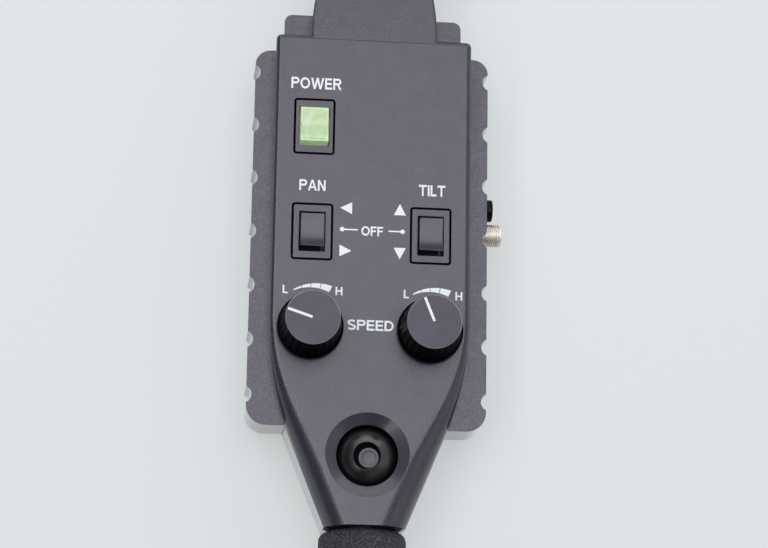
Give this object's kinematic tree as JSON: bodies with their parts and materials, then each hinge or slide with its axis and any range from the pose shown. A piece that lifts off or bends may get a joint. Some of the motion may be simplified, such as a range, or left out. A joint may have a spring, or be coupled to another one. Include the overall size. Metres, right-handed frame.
{
  "type": "remote pan tilt head controller",
  "caption": "Hand controller of a remote pan and tilt head: switches, speed knobs and a thumb joystick on a moulded body with a scalloped case, foam grip and toothed clamp.",
  "frame": {"origin": "on the flat back face, under the middle of the scalloped side frame", "axes": "+X to the right, +Y along the body towards the neck, +Z out through the control panel"},
  "size_m": [0.0924, 0.3668, 0.0498],
  "materials": {
    "casing": "satin, fine moulded texture",
    "rocker": "satin",
    "lens": "translucent pale green",
    "lamp": "clear",
    "knob": "gloss black",
    "dome": "semi-gloss black",
    "stick": "satin",
    "foam": "closed-cell foam, speckled",
    "black_plastic": "satin",
    "nickel": "nickel plated",
    "steel": "zinc plated",
    "aluminium": "bead blasted",
    "board": "solder mask"
  },
  "bodies": {
    "controller": {"front_shell": "casing", "side_frame": "casing", "rear_shell": "casing", "neck_arm": "casing", "power_switch_body": "casing", "pan_switch_body": "casing", "tilt_switch_body": "casing", "rosette": "aluminium", "grip_tube": "aluminium", "foam_grip": "foam", "grip_end_cap": "black_plastic", "power_lamp": "lamp", "pan_speed_potentiometer": "black_plastic", "tilt_speed_potentiometer": "black_plastic", "pan_potentiometer_nut": "steel", "tilt_potentiometer_nut": "steel", "joystick_base": "black_plastic", "joystick_sensor_board": "board", "circuit_board": "board", "dc_jack": "black_plastic", "control_socket": "nickel", "socket_insert": "black_plastic", "case_screw_1": "steel", "case_screw_2": "steel", "case_screw_3": "steel", "case_screw_4": "steel", "case_screw_5": "steel", "case_screw_6": "steel", "neck_screw_1": "steel", "neck_screw_2": "steel", "board_screw_1": "steel", "board_screw_2": "steel", "board_screw_3": "steel", "board_screw_4": "steel"},
    "power_rocker": {"power_rocker": "lens"},
    "pan_rocker": {"pan_rocker": "rocker"},
    "tilt_rocker": {"tilt_rocker": "rocker"},
    "pan_knob": {"pan_speed_knob": "knob", "pan_speed_shaft": "steel"},
    "tilt_knob": {"tilt_speed_knob": "knob", "tilt_speed_shaft": "steel"},
    "gimbal": {"gimbal_ring": "steel"},
    "joystick": {"joystick_stick": "stick", "joystick_dome": "dome", "gimbal_cross_pin": "steel"},
    "clamp": {"clamp_knob": "black_plastic", "clamp_stud": "steel"}
  },
  "joints": [
    {"name": "power_rocker_press", "type": "hinge", "parent": "controller", "child": "power_rocker", "pos_m": [-0.0215, 0.0391, 0.03], "axis": [1, 0, 0], "range_deg": [0, 10]},
    {"name": "pan_rocker_press", "type": "hinge", "parent": "controller", "child": "pan_rocker", "pos_m": [-0.0215, -0.00056, 0.03], "axis": [1, 0, 0], "range_deg": [-11, 11]},
    {"name": "tilt_rocker_press", "type": "hinge", "parent": "controller", "child": "tilt_rocker", "pos_m": [0.0215, -0.00056, 0.03], "axis": [1, 0, 0], "range_deg": [-11, 11]},
    {"name": "pan_speed_turn", "type": "hinge", "parent": "controller", "child": "pan_knob", "pos_m": [-0.0215, -0.0361, 0.034], "axis": [0, 0, 1], "range_deg": [-222, 78]},
    {"name": "tilt_speed_turn", "type": "hinge", "parent": "controller", "child": "tilt_knob", "pos_m": [0.0215, -0.0361, 0.034], "axis": [0, 0, 1], "range_deg": [-172, 128]},
    {"name": "joystick_forward_back", "type": "hinge", "parent": "controller", "child": "gimbal", "pos_m": [0, -0.0814, 0.023], "axis": [1, 0, 0], "range_deg": [-15, 15], "stiffness_Nm_per_rad": 0.045},
    {"name": "joystick_left_right", "type": "hinge", "parent": "gimbal", "child": "joystick", "pos_m": [0, -0.0814, 0.023], "axis": [0, 1, 0], "range_deg": [-15, 15], "stiffness_Nm_per_rad": 0.045},
    {"name": "clamp_knob_turn", "type": "hinge", "parent": "controller", "child": "clamp", "pos_m": [0, 0.12846, 0.017], "axis": [1, 0, 0], "continuous": true}
  ]
}
